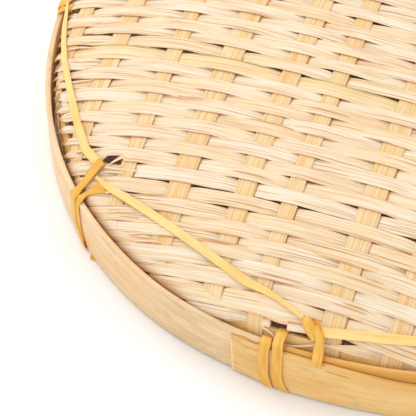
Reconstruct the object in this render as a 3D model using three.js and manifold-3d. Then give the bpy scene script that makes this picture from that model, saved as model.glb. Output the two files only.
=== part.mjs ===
// Round bamboo tray, lying on its rim with the domed underside of the mat up.
// Millimetres, +Z up. The origin is on the surface it stands on, under the middle of the rim.
import * as THREE from "three";
import { mergeVertices } from "three/addons/utils/BufferGeometryUtils.js";
import Module from "manifold-3d";

const wasm = await Module();
wasm.setup();

// Rim band: one bent strip, more than a full turn long, so that its ends lap
const rimRadius = 190;
const bandThickness = 2.6;
const bandHeight = 27;
const bandStep = 5;
const lapStart = 241.5;
const lapSteps = 12;
const lapGap = 0.3;
const lapSettleSteps = 8;
const lapLift = 0.6;
const lapDip = 5;
const lapDipSteps = 5.8;
const lapDipSpread = 2.2;

// The doubled band presses the rim, and the mat's edge with it, a little inwards behind the lap
const pressDepth = 2.5;
const pressAngle = 252;
const pressSpread = 15;
const pressFade = 4;

// Inner hoop: a thick split strip under the edge of the mat
const hoopThickness = 4.6;
const hoopHeight = 12;
const hoopRise = 6.6;
const hoopBevel = 1.6;
const hoopSides = 60;

// Mat: plain weave, bowed like a dome, with its edge bent down between hoop and band
const weaveAngle = -19;
const warpSkew = 3;
const domeRise = 32;
const domeEdgeLift = 0.6;
const domePower = 3.83;
const bendInset = 12;
const stripThickness = 0.8;
const weftPitch = 6.3;
const weftGap = 0.3;
const weftsPerGroup = 3;
const warpWidth = 9.5;
const overLevel = 1.2;
const underLevel = -1.75;
const clampLevel = 0.62;
const clampPlay = 0.45;
const hemInset = 23;
const crossingMargin = 1;
const warpRingSpacing = 15;
const longestEndStep = 14;
const longestStretch = 26;
const mostTurnPerRing = THREE.MathUtils.degToRad(3.5);
const bridgeHalfLength = 1;
const bridgeBite = 1.2;

// Lashings: at each station a strip makes two turns round band, mat edge and hoop
const stationCount = 9;
const firstStation = 167.5;
const lashWidth = 5.2;
const lashThickness = 0.8;
const lashSlotInset = 21;
const lashTurnSpacing = 6.8;
const lashStartDepth = 3;
const lashTailInset = 2.4;
const lashTailRise = 2.6;
const slotHeight = 75;
const chordWidth = 4.6;
const chordThickness = 0.8;
const chordEndInset = 13.6;
const chordRingCount = 10;

// Clearances between touching pieces
const gap = 0.35;
const slotClearance = 0.35;
const lapSlack = 0.2;

const deg = THREE.MathUtils.degToRad;
const weftWidth = weftPitch - weftGap;
const bandInner = rimRadius - bandThickness;
const halfStrip = stripThickness / 2;
const clampRadius = bandInner - clampPlay - clampLevel - halfStrip;
const bendStart = rimRadius - bendInset;
const forcedOverRadius = rimRadius - hemInset;
const lashSlotRadius = rimRadius - lashSlotInset;
const chordEndRadius = rimRadius - chordEndInset;
const domeEdgeHeight = bandHeight + domeEdgeLift;

// Warps, unevenly spaced as they are laid by hand: place as a share of the rim's radius, width as a share
const warps = [
  { name: "warp_01", place: -0.905, breadth: 0.84 },
  { name: "warp_02", place: -0.771, breadth: 1 },
  { name: "warp_03", place: -0.611, breadth: 0.84 },
  { name: "warp_04", place: -0.461, breadth: 1.16 },
  { name: "warp_05", place: -0.297, breadth: 1 },
  { name: "warp_06", place: -0.179, breadth: 0.84 },
  { name: "warp_07", place: 0.013, breadth: 1.16 },
  { name: "warp_08", place: 0.171, breadth: 1.05 },
  { name: "warp_09", place: 0.321, breadth: 0.95 },
  { name: "warp_10", place: 0.479, breadth: 1.1 },
  { name: "warp_11", place: 0.637, breadth: 0.95 },
  { name: "warp_12", place: 0.784, breadth: 1.05 },
  { name: "warp_13", place: 0.897, breadth: 0.84 },
].map(({ name, place, breadth }) => ({ name, at: place * rimRadius, width: breadth * warpWidth }));

// Wefts fill the mat up to where it turns down, the same number on both sides of the middle
const weftCount = 2 * Math.floor(bendStart / weftPitch);

// Profile of the mat's middle surface: a dome, then a two-sided bend that turns down behind the band
const domeHeight = (r) => domeEdgeHeight + domeRise * (1 - (r / rimRadius) ** domePower);
const domeSlope = (r) => Math.atan((domeRise * domePower * (r / rimRadius) ** (domePower - 1)) / rimRadius);
const bendSlope = domeSlope(bendStart);
const bendRadius = (clampRadius - bendStart) / (1 - Math.sin(bendSlope));
const bendCentreR = clampRadius - bendRadius;
const bendCentreZ = domeHeight(bendStart) - bendRadius * Math.cos(bendSlope);
const bendMiddle = bendStart + (bendRadius * (Math.PI / 2 - bendSlope)) / 2;
const bendEnd = bendStart + bendRadius * (Math.PI / 2 - bendSlope);

const bendStops = [bendStart, bendMiddle, bendEnd];

function onBendArc(s, level) {
  const slope = bendSlope + (s - bendStart) / bendRadius;
  const radius = bendRadius + level;
  return { r: bendCentreR + radius * Math.sin(slope), z: bendCentreZ + radius * Math.cos(slope) };
}

function profile(s, level) {
  if (s <= bendStart) {
    const slope = domeSlope(s);
    return { r: s + level * Math.sin(slope), z: domeHeight(s) + level * Math.cos(slope) };
  }
  const side = s > bendMiddle ? 1 : 0;
  const from = onBendArc(bendStops[side], level);
  const to = onBendArc(bendStops[side + 1], level);
  const share = (s - bendStops[side]) / (bendStops[side + 1] - bendStops[side]);
  return { r: THREE.MathUtils.lerp(from.r, to.r, share), z: THREE.MathUtils.lerp(from.z, to.z, share) };
}

// A place on the mat: u runs along the wefts, v square to them, level is the height off the middle
function onMat(u, v, level, turn = 0) {
  const { r, z } = profile(Math.hypot(u, v), level);
  const angle = Math.atan2(v, u) + deg(weaveAngle) + turn;
  return new THREE.Vector3(r * Math.cos(angle), r * Math.sin(angle), z);
}

// A closed strip through rings, each with its lower face's points first and its upper face's points back
function stripGeometry(rings) {
  const points = rings.flat();
  const corners = rings[0].length;
  const index = [];
  for (let ring = 0; ring < rings.length - 1; ring += 1) {
    for (let side = 0; side < corners; side += 1) {
      const a = ring * corners + side;
      const b = ring * corners + ((side + 1) % corners);
      index.push(a, a + corners, b, b, a + corners, b + corners);
    }
  }
  const last = (rings.length - 1) * corners;
  for (let low = 0; low < corners / 2 - 1; low += 1) {
    const high = corners - 1 - low;
    index.push(low, low + 1, high, low + 1, high - 1, high);
    index.push(last + low, last + high, last + low + 1, last + low + 1, last + high, last + high - 1);
  }
  const geometry = new THREE.BufferGeometry().setFromPoints(points);
  geometry.setIndex(index);
  return geometry;
}

// Solids for cutting and joining
function solidOf(geometry) {
  const bare = geometry.clone();
  bare.deleteAttribute("normal");
  bare.deleteAttribute("uv");
  const merged = mergeVertices(bare, 1e-4);
  return new wasm.Manifold(
    new wasm.Mesh({
      numProp: 3,
      vertProperties: new Float32Array(merged.attributes.position.array),
      triVerts: new Uint32Array(merged.index.array),
    }),
  );
}

function geometryOf(solid) {
  const mesh = solid.getMesh();
  const geometry = new THREE.BufferGeometry();
  geometry.setAttribute("position", new THREE.BufferAttribute(new Float32Array(mesh.vertProperties), 3));
  geometry.setIndex(new THREE.BufferAttribute(new Uint32Array(mesh.triVerts), 1));
  return geometry;
}

// Finishes
const finish = (color, roughness) => new THREE.MeshStandardMaterial({ color, roughness, metalness: 0 });
const bandFinish = () => finish(0xedc98f, 0.55);
const hoopFinish = () => finish(0xe3bd7e, 0.6);
const weftFinish = () => finish(0xfae6c4, 0.7);
const warpFinish = () => finish(0xf0c888, 0.65);
const lashFinish = () => finish(0xf2c25c, 0.5);
const chordFinish = () => finish(0xfbe08c, 0.5);

const tray = new THREE.Group();

// Moves points inwards behind the lap, most at the rim and hardly in the middle of the mat
function pressIn(geometry) {
  const points = geometry.getAttribute("position");
  for (let i = 0; i < points.count; i += 1) {
    const x = points.getX(i);
    const y = points.getY(i);
    const away = THREE.MathUtils.euclideanModulo(Math.atan2(y, x) - deg(pressAngle) + Math.PI, 2 * Math.PI) - Math.PI;
    const reach = Math.hypot(x, y);
    const depth = pressDepth * Math.exp(-((away / deg(pressSpread)) ** 2)) * (reach / rimRadius) ** pressFade;
    points.setXY(i, x * (1 - depth / reach), y * (1 - depth / reach));
  }
}

function addPiece(name, geometry, material) {
  const flat = geometry.index ? geometry.toNonIndexed() : geometry;
  pressIn(flat);
  flat.computeVertexNormals();
  const mesh = new THREE.Mesh(flat, material);
  mesh.name = name;
  tray.add(mesh);
}

// Rim band
const fullTurnSteps = 360 / bandStep;
const lapAngleSteps = fullTurnSteps + lapSteps;

function bandOffset(step) {
  const settled = THREE.MathUtils.smoothstep(step, lapSteps, lapSteps + lapSettleSteps);
  return (bandThickness + lapGap) * (1 - settled);
}

function bandTop(step) {
  const settled = THREE.MathUtils.smoothstep(step, lapSteps, lapSteps + lapSettleSteps);
  const dip = Math.exp(-(((step - lapDipSteps) / lapDipSpread) ** 2));
  return bandHeight + lapLift * (1 - settled) - lapDip * dip;
}

function bandRing(step) {
  const angle = deg(lapStart + step * bandStep);
  const inner = bandInner + bandOffset(step);
  const outer = inner + bandThickness;
  const corner = (r, z) => new THREE.Vector3(r * Math.cos(angle), r * Math.sin(angle), z);
  const top = bandTop(step);
  return [corner(inner, 0), corner(outer, 0), corner(outer, top), corner(inner, top)];
}

const bandRings = [];
for (let step = 0; step <= lapAngleSteps; step += 1) {
  bandRings.push(bandRing(step));
}
addPiece("rim_band", stripGeometry(bandRings), bandFinish());

// Inner hoop, seated in the turn of the mat's edge: its outer side leans in under the bend
const hoopReach = bendRadius - clampLevel - halfStrip - gap;
const hoopOuter = bendCentreR + hoopReach;
const hoopInner = hoopOuter - hoopThickness;
const hoopTop = bendCentreZ + hoopRise;
const hoopBottom = hoopTop - hoopHeight;
const bendHalfTurn = (Math.PI / 2 - bendSlope) / 2;
const shoulder = {
  r: bendCentreR + hoopReach * Math.cos(bendHalfTurn),
  z: bendCentreZ + hoopReach * Math.sin(bendHalfTurn),
};
const topOuter = THREE.MathUtils.mapLinear(hoopTop, bendCentreZ, shoulder.z, hoopOuter, shoulder.r);
const hoopOutline = [
  [hoopInner + hoopBevel, hoopBottom],
  [hoopOuter - hoopBevel, hoopBottom],
  [hoopOuter, hoopBottom + hoopBevel],
  [hoopOuter, bendCentreZ],
  [topOuter, hoopTop],
  [hoopInner + hoopBevel, hoopTop],
  [hoopInner, hoopTop - hoopBevel],
  [hoopInner, hoopBottom + hoopBevel],
  [hoopInner + hoopBevel, hoopBottom],
].map(([r, z]) => new THREE.Vector2(r, z));
addPiece("inner_hoop", new THREE.LatheGeometry(hoopOutline, hoopSides).rotateX(Math.PI / 2), hoopFinish());

// Lashing stations, each set so that its first turn goes through the mat between two wefts
function slotPlace(angleDegrees, side) {
  const angle = deg(angleDegrees - weaveAngle) + (side * lashTurnSpacing) / 2 / lashSlotRadius;
  return { u: lashSlotRadius * Math.cos(angle), v: lashSlotRadius * Math.sin(angle) };
}

const stations = [];
for (let k = 0; k < stationCount; k += 1) {
  const nominal = firstStation + (k * 360) / stationCount;
  const first = slotPlace(nominal, -1);
  const second = slotPlace(nominal, 1);
  const between = Math.round(first.v / weftPitch) * weftPitch;
  const shift = between - first.v;
  const turns = [first, second].map(({ u, v }) => ({
    slotRadius: Math.hypot(u, v + shift),
    angle: Math.atan2(v + shift, u) + deg(weaveAngle),
  }));
  stations.push({ name: String(k + 1).padStart(2, "0"), turns });
}

// Slots that the lashings pass through in the mat
function slotSolid({ slotRadius, angle }) {
  const slot = new THREE.BoxGeometry(
    lashThickness + 2 * slotClearance,
    lashWidth + 2 * slotClearance,
    slotHeight,
  );
  slot.translate(slotRadius, 0, domeHeight(slotRadius));
  slot.rotateZ(angle);
  return solidOf(slot);
}

const slots = stations.flatMap(({ turns }) => turns.map(slotSolid));
const withSlots = (solid) => slots.reduce((left, slot) => left.subtract(slot), solid);

// Radii at which a strip's end has rings, closer together where it meets the rim at a slant
function endRadii(offset) {
  const radii = [bendStart];
  for (let side = 0; side < 2; side += 1) {
    const from = bendStops[side];
    const to = bendStops[side + 1];
    const turn = Math.acos(offset / to) - Math.acos(offset / from);
    const parts = Math.max(1, Math.ceil(turn / mostTurnPerRing));
    for (let part = 1; part <= parts; part += 1) {
      radii.push(THREE.MathUtils.lerp(from, to, part / parts));
    }
  }
  return radii;
}

const clampShare = (s) => THREE.MathUtils.clamp((s - bendStart) / (bendEnd - bendStart), 0, 1);
const endLevel = (s, matLevel, hemLevel) => THREE.MathUtils.lerp(matLevel, hemLevel, clampShare(s));

// Stations of a strip's end: they lie on circles round the mat's middle
function endStations(offset, width, matLevel, hemLevel) {
  return endRadii(Math.abs(offset) + width / 2).map((s) => ({
    along: (across) => Math.sqrt(s ** 2 - across ** 2),
    level: endLevel(s, matLevel, hemLevel),
  }));
}

// Both ends and the middle, with stations added in long stretches, so that they follow the dome
function fullLength(ends, middle, offset) {
  const mirrored = [...ends].reverse().map(({ along, level }) => ({ along: (across) => -along(across), level }));
  const all = [...mirrored, ...middle, ...ends];
  return all.flatMap((from, i) => {
    const to = all[i + 1] ?? from;
    const parts = Math.max(1, Math.ceil((to.along(offset) - from.along(offset)) / longestStretch));
    return Array.from({ length: parts }, (_, part) => ({
      along: (across) => THREE.MathUtils.lerp(from.along(across), to.along(across), part / parts),
      level: THREE.MathUtils.lerp(from.level, to.level, part / parts),
    }));
  });
}

// Places across a strip: more of them where its ends meet the rim at a slant
function placesAcross(offset, width) {
  const reachAt = (across) => Math.sqrt(bendStart ** 2 - across ** 2);
  const slant = reachAt(Math.abs(offset) - width / 2) - reachAt(Math.abs(offset) + width / 2);
  const parts = Math.ceil(Math.hypot(slant, width) / longestEndStep);
  return Array.from({ length: parts + 1 }, (_, i) => offset + (i / parts - 0.5) * width);
}

// Warps: wide stiff strips that run straight on through the weave, not quite square to the wefts
const skew = deg(warpSkew);
function warpSolid({ at, width }) {
  const ends = endStations(at, width, 0, -clampLevel);
  const reach = ends[0].along(Math.abs(at) + width / 2);
  const parts = Math.ceil((2 * reach) / warpRingSpacing);
  const middle = [];
  for (let part = 1; part < parts; part += 1) {
    const v = -reach + (2 * reach * part) / parts;
    middle.push({ along: () => v, level: 0 });
  }
  const places = placesAcross(at, width);
  const rings = fullLength(ends, middle, at).map(({ along, level }) => [
    ...places.map((u) => onMat(u, along(u), level - halfStrip, skew)),
    ...[...places].reverse().map((u) => onMat(u, along(u), level + halfStrip, skew)),
  ]);
  return solidOf(stripGeometry(rings));
}

for (const warp of warps) {
  addPiece(warp.name, geometryOf(withSlots(warpSolid(warp))), warpFinish());
}

// Wefts: narrow strips, over one warp and under the next, set one row off from their neighbours
const weftAt = (row) => (row - (weftCount - 1) / 2) * weftPitch;
const crossingAt = (warpAt, v) => warpAt / Math.cos(skew) - v * Math.tan(skew);

function weftStations(row) {
  const v = weftAt(row);
  const ends = endStations(v, weftWidth, overLevel, clampLevel);
  const reach = ends[0].along(Math.abs(v) + weftWidth / 2) - 2 * crossingMargin;
  const middle = [];
  warps.forEach(({ at, width }, i) => {
    const farCorner = Math.hypot(Math.abs(crossingAt(at, v)) + width / 2, Math.abs(v) + weftWidth / 2);
    const under = (i + row) % 2 === 0 && farCorner < forcedOverRadius;
    if (under) {
      middle.push({ along: (across) => crossingAt(at, across), level: underLevel });
      return;
    }
    for (const side of [-1, 1]) {
      const edge = at + side * (width / 2 + crossingMargin);
      middle.push({ along: (across) => crossingAt(edge, across), level: overLevel });
    }
  });
  const kept = middle.filter(({ along }) => Math.abs(along(v)) < reach);
  return fullLength(ends, kept, v);
}

function weftSolid(row) {
  const v = weftAt(row);
  const places = placesAcross(v, weftWidth);
  const rings = weftStations(row).map(({ along, level }) => [
    ...[...places].reverse().map((across) => onMat(along(across), across, level - halfStrip)),
    ...places.map((across) => onMat(along(across), across, level + halfStrip)),
  ]);
  return solidOf(stripGeometry(rings));
}

// Neighbouring wefts of a group touch at one spot in the middle, where both are half way up
const bridgeAt = (row) => crossingAt((warps[6].at + warps[7].at) / 2, weftAt(row));

function levelAt(row, u) {
  const all = weftStations(row);
  const v = weftAt(row);
  const next = all.findIndex(({ along }) => along(v) > u);
  const from = all[next - 1];
  const to = all[next];
  return THREE.MathUtils.mapLinear(u, from.along(v), to.along(v), from.level, to.level);
}

function bridgeSolid(row) {
  const fromV = weftAt(row) + weftWidth / 2 - bridgeBite;
  const toV = weftAt(row + 1) - weftWidth / 2 + bridgeBite;
  const half = halfStrip / 2;
  const rings = [-bridgeHalfLength, bridgeHalfLength].map((along) => {
    const u = bridgeAt(row) + along;
    const from = levelAt(row, u);
    const to = levelAt(row + 1, u);
    return [
      onMat(u, toV, to - half),
      onMat(u, fromV, from - half),
      onMat(u, fromV, from + half),
      onMat(u, toV, to + half),
    ];
  });
  return solidOf(stripGeometry(rings));
}

for (let group = 0; group * weftsPerGroup < weftCount; group += 1) {
  const rows = [];
  for (let i = group * weftsPerGroup; i < Math.min((group + 1) * weftsPerGroup, weftCount); i += 1) {
    rows.push(i);
  }
  const solids = [...rows.map(weftSolid), ...rows.slice(0, -1).map(bridgeSolid)];
  const joined = solids.reduce((all, solid) => all.add(solid));
  const name = "weft_group_" + String(group + 1).padStart(2, "0");
  addPiece(name, geometryOf(withSlots(joined)), weftFinish());
}

// Chords: straight strips over the mat from station to station, their ends under the lashings
const chordLevel = overLevel + halfStrip + gap + chordThickness / 2;

function chordGeometry(from, to) {
  const end = (angle) => ({
    u: chordEndRadius * Math.cos(angle - deg(weaveAngle)),
    v: chordEndRadius * Math.sin(angle - deg(weaveAngle)),
  });
  const a = end(from);
  const b = end(to);
  const length = Math.hypot(b.u - a.u, b.v - a.v);
  const across = { u: (-(b.v - a.v) / length) * (chordWidth / 2), v: ((b.u - a.u) / length) * (chordWidth / 2) };
  const rings = [];
  for (let i = 0; i <= chordRingCount; i += 1) {
    const u = THREE.MathUtils.lerp(a.u, b.u, i / chordRingCount);
    const v = THREE.MathUtils.lerp(a.v, b.v, i / chordRingCount);
    rings.push([
      onMat(u + across.u, v + across.v, chordLevel - chordThickness / 2),
      onMat(u - across.u, v - across.v, chordLevel - chordThickness / 2),
      onMat(u - across.u, v - across.v, chordLevel + chordThickness / 2),
      onMat(u + across.u, v + across.v, chordLevel + chordThickness / 2),
    ]);
  }
  return stripGeometry(rings);
}

// Lashings
const lashLevel = chordLevel + chordThickness / 2 + gap + lashThickness / 2;
const lashOff = gap + lashThickness / 2;
const lashFaceOff = lashOff + lapSlack;

// Outer face and top edge of the outermost band layer at an angle
function bandAt(angle) {
  const turned = THREE.MathUtils.euclideanModulo(THREE.MathUtils.radToDeg(angle) - lapStart, 360);
  const step = turned / bandStep;
  return { outer: bandInner + bandOffset(step) + bandThickness, top: bandTop(step) };
}

// One turn in the plane of its station: up through the mat, out over the edge, down and under
function lashTurn({ slotRadius, angle }, y) {
  const band = bandAt(angle);
  const overMat = profile(bendStart, lashLevel + gap);
  const mat = domeHeight(slotRadius);
  const place = (r, z) => ({ r, z, y, angle });
  return [
    place(slotRadius, mat - lashStartDepth),
    place(slotRadius, mat + lashLevel + lashThickness / 2),
    place(overMat.r, overMat.z),
    place(bandInner + gap, bandHeight + lapLift + lashOff),
    place(rimRadius, bandHeight + lapLift + lashOff),
    place(band.outer + lashFaceOff, band.top + lashOff),
    place(band.outer + lashFaceOff, 0),
    place(band.outer - gap, -lashOff),
    place(bandInner - gap, -lashOff),
  ];
}

function lashGeometry([first, second]) {
  const insideHoop = hoopInner - lashOff - gap;
  const start = { r: insideHoop, z: hoopBottom + hoopBevel, y: 0, angle: first.angle };
  const across = { r: insideHoop, z: hoopBottom, y: 0, angle: second.angle };
  const tail = { r: bandInner - lashTailInset, z: lashTailRise - lashOff, y: 0, angle: second.angle };
  const route = [start, ...lashTurn(first, 0), across, ...lashTurn(second, 0), tail];
  const direction = (a, b) => new THREE.Vector2(b.r - a.r, b.z - a.z).normalize();
  const rings = route.map((here, i) => {
    const before = direction(route[Math.max(i - 1, 0)], route[Math.max(i, 1)]);
    const after = direction(route[Math.min(i, route.length - 2)], route[Math.min(i + 1, route.length - 1)]);
    const along = before.clone().add(after).normalize();
    const spread = lashThickness / 2 / along.dot(before);
    const corner = (side, out) => {
      const r = here.r - along.y * out * spread;
      const z = here.z + along.x * out * spread;
      const y = (side * lashWidth) / 2;
      const cos = Math.cos(here.angle);
      const sin = Math.sin(here.angle);
      return new THREE.Vector3(r * cos - y * sin, r * sin + y * cos, z);
    };
    return [corner(-1, -1), corner(-1, 1), corner(1, 1), corner(1, -1)];
  });
  return stripGeometry(rings);
}

stations.forEach(({ name, turns }, i) => {
  addPiece("lash_" + name, lashGeometry(turns), lashFinish());
  const next = stations[(i + 1) % stations.length].turns[0];
  const inset = (lashWidth / 2 - gap) / chordEndRadius;
  const to = next.angle + inset;
  const from = turns[1].angle - inset;
  const turn = THREE.MathUtils.euclideanModulo(to - from, 2 * Math.PI);
  addPiece("chord_" + name, chordGeometry(from, from + turn), chordFinish());
});

// The lapped band reaches out further on one side, so the middle of the whole is put over the origin
const extent = new THREE.Box3().setFromObject(tray);
const middle = extent.getCenter(new THREE.Vector3());
tray.position.set(-middle.x, -middle.y, -extent.min.z);

export default tray;
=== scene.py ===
import math
from functools import partialmethod

import bpy
import numpy as np
from mathutils import Matrix, Vector


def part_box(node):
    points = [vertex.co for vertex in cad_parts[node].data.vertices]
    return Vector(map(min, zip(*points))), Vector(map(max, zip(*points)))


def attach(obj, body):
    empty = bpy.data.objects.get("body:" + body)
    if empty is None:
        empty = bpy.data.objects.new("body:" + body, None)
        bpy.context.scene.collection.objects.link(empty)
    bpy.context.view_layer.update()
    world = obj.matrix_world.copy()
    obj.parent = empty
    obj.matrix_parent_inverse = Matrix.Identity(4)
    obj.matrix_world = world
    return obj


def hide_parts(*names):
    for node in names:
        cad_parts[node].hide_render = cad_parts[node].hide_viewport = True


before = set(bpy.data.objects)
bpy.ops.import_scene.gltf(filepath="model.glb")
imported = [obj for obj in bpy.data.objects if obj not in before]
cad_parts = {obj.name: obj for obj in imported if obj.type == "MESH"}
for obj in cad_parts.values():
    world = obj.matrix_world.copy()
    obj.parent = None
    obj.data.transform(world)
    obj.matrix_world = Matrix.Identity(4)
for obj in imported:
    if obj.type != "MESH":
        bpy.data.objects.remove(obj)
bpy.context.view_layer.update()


# Warps
# Thirteen wide, stiff strips of split bamboo, laid by hand at uneven distances and not quite square to
# the wefts. They keep nearly straight through the weave, and their ends turn down between hoop and band.
mm = 0.001
rim_radius = 190 * mm
band_thickness = 2.6 * mm
band_inner = rim_radius - band_thickness

weave_angle = math.radians(-19)
warp_skew = math.radians(3)
strip_thickness = 0.8 * mm
sharp_edge = math.radians(38)
dome_rise = 32 * mm
dome_edge = 27.6 * mm
dome_power = 3.83
bend_start = rim_radius - 12 * mm
clamp_level = 0.62 * mm
clamp_radius = band_inner - 0.45 * mm - clamp_level - strip_thickness / 2


def dome_slope_at(out):
    return math.atan(dome_rise * dome_power / rim_radius * (out / rim_radius) ** (dome_power - 1))


def dome_height_at(out):
    return dome_edge + dome_rise * (1 - (out / rim_radius) ** dome_power)


bend_slope = dome_slope_at(bend_start)
bend_radius = (clamp_radius - bend_start) / (1 - math.sin(bend_slope))
bend_centre_out = clamp_radius - bend_radius
bend_centre_up = dome_height_at(bend_start) - bend_radius * math.cos(bend_slope)
bend_end = bend_start + bend_radius * (math.pi / 2 - bend_slope)

hoop_reach = bend_radius - clamp_level - strip_thickness / 2 - 0.35 * mm
hoop_outer = bend_centre_out + hoop_reach
hoop_low, hoop_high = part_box("inner_hoop")
rim_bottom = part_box("rim_band")[0][2]
rim_middle = Vector(((hoop_low[0] + hoop_high[0]) / 2, hoop_high[1] - hoop_outer, rim_bottom))

press_depth = 2.5 * mm
press_angle = math.radians(252)
press_spread = math.radians(15)


def pressed(out, angle):
    """A distance from the middle, less what the doubled band presses the rim inwards behind its lap."""
    away = (angle - press_angle + math.pi) % (2 * math.pi) - math.pi
    return out - press_depth * math.exp(-((away / press_spread) ** 2)) * (out / rim_radius) ** 4


def plug(tree, socket, value):
    """Links a wire to a socket, or writes a plain value on it."""
    if isinstance(value, Wire):
        tree.links.new(value.socket, socket)
    else:
        socket.default_value = value


class Wire:
    """One output in a node tree. Sums written with wires add Math nodes to the tree."""

    def __init__(self, tree, socket):
        self.tree = tree
        self.socket = socket

    def reckon(self, operation, *others, first=None):
        node = self.tree.nodes.new("ShaderNodeMath")
        node.operation = operation
        values = (self, *others) if first is None else (first, self)
        for socket, value in zip(node.inputs, values):
            plug(self.tree, socket, value)
        return Wire(self.tree, node.outputs[0])

    __add__ = __radd__ = partialmethod(reckon, "ADD")
    __mul__ = __rmul__ = partialmethod(reckon, "MULTIPLY")
    __sub__ = partialmethod(reckon, "SUBTRACT")
    __truediv__ = partialmethod(reckon, "DIVIDE")
    __pow__ = partialmethod(reckon, "POWER")
    __mod__ = partialmethod(reckon, "FLOORED_MODULO")
    __gt__ = partialmethod(reckon, "GREATER_THAN")
    __lt__ = partialmethod(reckon, "LESS_THAN")
    least = partialmethod(reckon, "MINIMUM")
    most = partialmethod(reckon, "MAXIMUM")
    root = partialmethod(reckon, "SQRT")
    size = partialmethod(reckon, "ABSOLUTE")
    sign = partialmethod(reckon, "SIGN")
    sine = partialmethod(reckon, "SINE")
    cosine = partialmethod(reckon, "COSINE")

    def __rsub__(self, other):
        return self.reckon("SUBTRACT", first=other)

    def hump(self):
        """1 where the value is 0, and falling off smoothly to both sides of it."""
        return (self * self * -1).reckon("EXPONENT")


class Bench:
    """A node tree that is being laid out. Every node other than Math comes from its node method."""

    def __init__(self, tree):
        self.tree = tree

    def node(self, kind, settings=None, sockets=None, out=None):
        """Adds a node, and returns the wire of its first output, or of the outputs that out names."""
        node = self.tree.nodes.new(kind)
        for name, value in (settings or {}).items():
            setattr(node, name, value)
        for key, value in (sockets or {}).items():
            live = [socket for socket in node.inputs if socket.enabled]
            socket = live[key] if isinstance(key, int) else next(s for s in live if s.name == key)
            plug(self.tree, socket, value)
        live = [socket for socket in node.outputs if socket.enabled]
        if out is None:
            return Wire(self.tree, live[0])
        names = [out] if isinstance(out, str) else out
        wires = [Wire(self.tree, next(s for s in live if s.name == name)) for name in names]
        return wires[0] if isinstance(out, str) else wires

    def vector(self, x, y, z):
        return self.node("ShaderNodeCombineXYZ", {}, {"X": x, "Y": y, "Z": z})

    def parts(self, vector):
        return self.node("ShaderNodeSeparateXYZ", {}, {"Vector": vector}, ("X", "Y", "Z"))

    def ease(self, value, start, end, low=0.0, high=1.0):
        """Runs smoothly from low to high while value goes from start to end."""
        settings = {"interpolation_type": "SMOOTHSTEP"}
        sockets = {"Value": value, "From Min": start, "From Max": end, "To Min": low, "To Max": high}
        return self.node("ShaderNodeMapRange", settings, sockets)

    def speckle(self, x, y, z, detail=2.0, roughness=0.5):
        """Smooth noise about 0.5 at a place given in noise lengths."""
        sockets = {"Vector": self.vector(x, y, z), "Scale": 1.0, "Detail": detail, "Roughness": roughness}
        return self.node("ShaderNodeTexNoise", {"noise_dimensions": "3D"}, sockets)

    def waver(self, amount, x, y, z):
        """Smooth noise that strays half of an amount to either side of 0."""
        return (self.speckle(x, y, z) - 0.5) * amount

    def blend(self, factor, low, high):
        return self.node("ShaderNodeMix", {"data_type": "RGBA"}, {"Factor": factor, "A": low, "B": high})

    def position(self):
        return self.parts(self.node("GeometryNodeInputPosition"))

    def moved(self, geometry, place):
        return self.node("GeometryNodeSetPosition", {}, {"Geometry": geometry, "Position": place})

    def keep(self, geometry, name, value, kind="FLOAT"):
        """Stores a value at the points of a geometry under a name."""
        settings = {"data_type": kind, "domain": "POINT"}
        sockets = {"Geometry": geometry, "Name": name, "Value": value}
        return self.node("GeometryNodeStoreNamedAttribute", settings, sockets)

    def kept(self, name, kind="FLOAT"):
        """A value that was stored at the points of a geometry."""
        return self.node("GeometryNodeInputNamedAttribute", {"data_type": kind}, {"Name": name})

    def stored(self, name, output):
        """A value that was stored at the points of a mesh, for use in its material."""
        settings = {"attribute_type": "GEOMETRY", "attribute_name": name}
        return self.node("ShaderNodeAttribute", settings, {}, output)


def dye(red, green, blue):
    """A colour as it looks on screen, 0 to 255, as the linear values that nodes take."""
    shares = [value / 255 for value in (red, green, blue)]
    linear = [share / 12.92 if share <= 0.04045 else ((share + 0.055) / 1.055) ** 2.4 for share in shares]
    return (*linear, 1.0)


def strip_tree(name, *numbers, whole=()):
    """A geometry tree with named inputs: numbers, whole numbers, and the strip's material. Returns its bench
    and the wires of the inputs."""
    inputs = {**dict.fromkeys(numbers, "Float"), **dict.fromkeys(whole, "Int"), "Material": "Material"}
    tree = bpy.data.node_groups.new(name, "GeometryNodeTree")
    tree.interface.new_socket("Geometry", in_out="INPUT", socket_type="NodeSocketGeometry")
    tree.interface.new_socket("Geometry", in_out="OUTPUT", socket_type="NodeSocketGeometry")
    for label, kind in inputs.items():
        tree.interface.new_socket(label, in_out="INPUT", socket_type="NodeSocket" + kind)
    entry = tree.nodes.new("NodeGroupInput")
    return Bench(tree), {socket.name: Wire(tree, socket) for socket in entry.outputs if socket.name}


def close_tree(bench, geometry, material):
    """The end of every tree here: real faces with their material."""
    real = bench.node("GeometryNodeRealizeInstances", {}, {"Geometry": geometry})
    finished = bench.node("GeometryNodeSetMaterial", {}, {"Geometry": real, "Material": material})
    leave = bench.tree.nodes.new("NodeGroupOutput")
    bench.tree.links.new(finished.socket, leave.inputs[0])


def new_object(name, data):
    """An object in the scene, at the origin."""
    made = bpy.data.objects.new(name, data)
    bpy.context.scene.collection.objects.link(made)
    return made


def run_tree(name, tree, values, start=None):
    """Runs a tree on a start mesh and returns the plain object that it makes."""
    carrier = new_object(name, start or bpy.data.meshes.new(name))
    modifier = carrier.modifiers.new("tree", "NODES")
    modifier.node_group = tree
    for item in tree.interface.items_tree:
        if item.in_out == "INPUT" and item.name in values:
            modifier[item.identifier] = values[item.name]
    scene_state = bpy.context.evaluated_depsgraph_get()
    mesh = bpy.data.meshes.new_from_object(carrier.evaluated_get(scene_state))
    carrier.modifiers.remove(modifier)
    carrier.data = mesh
    mesh.name = name
    mesh.shade_smooth()
    mesh.set_sharp_from_angle(angle=sharp_edge)
    return carrier


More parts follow.
